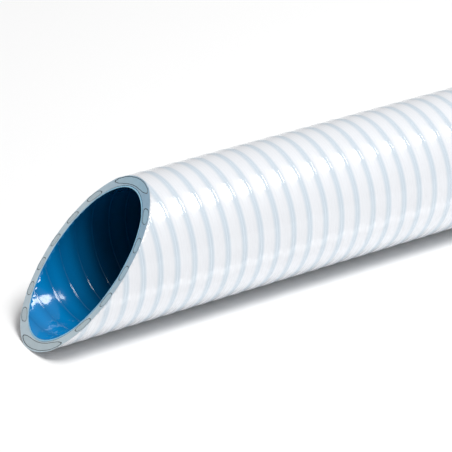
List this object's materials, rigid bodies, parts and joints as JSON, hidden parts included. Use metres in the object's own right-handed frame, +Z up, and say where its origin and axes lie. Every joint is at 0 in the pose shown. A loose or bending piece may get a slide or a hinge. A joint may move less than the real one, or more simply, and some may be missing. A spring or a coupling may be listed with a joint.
{
  "type": "flexible pvc hose",
  "caption": "Length of flexible PVC hose with a soft ribbed white wall, an embedded stiff PVC spiral, a blue bonded lining, and one end cut on a slant.",
  "frame": {"origin": "on the surface that the hose lies on, under the middle of its length", "axes": "+X along the hose from its slanted end to its square end, +Z up, and the slanted end's tip points down and a little to -Y"},
  "size_m": [0.3048, 0.05, 0.05],
  "materials": {
    "soft_pvc": "gloss",
    "stiff_pvc": "gloss",
    "lining_pvc": "gloss"
  },
  "bodies": {
    "root": {"soft_wall": "soft_pvc", "blue_lining": "lining_pvc", "rigid_spiral": "stiff_pvc", "spiral_arc_1": "stiff_pvc", "spiral_arc_2": "stiff_pvc", "spiral_arc_3": "stiff_pvc", "spiral_arc_4": "stiff_pvc", "spiral_arc_5": "stiff_pvc", "spiral_arc_6": "stiff_pvc"}
  },
  "joints": []
}
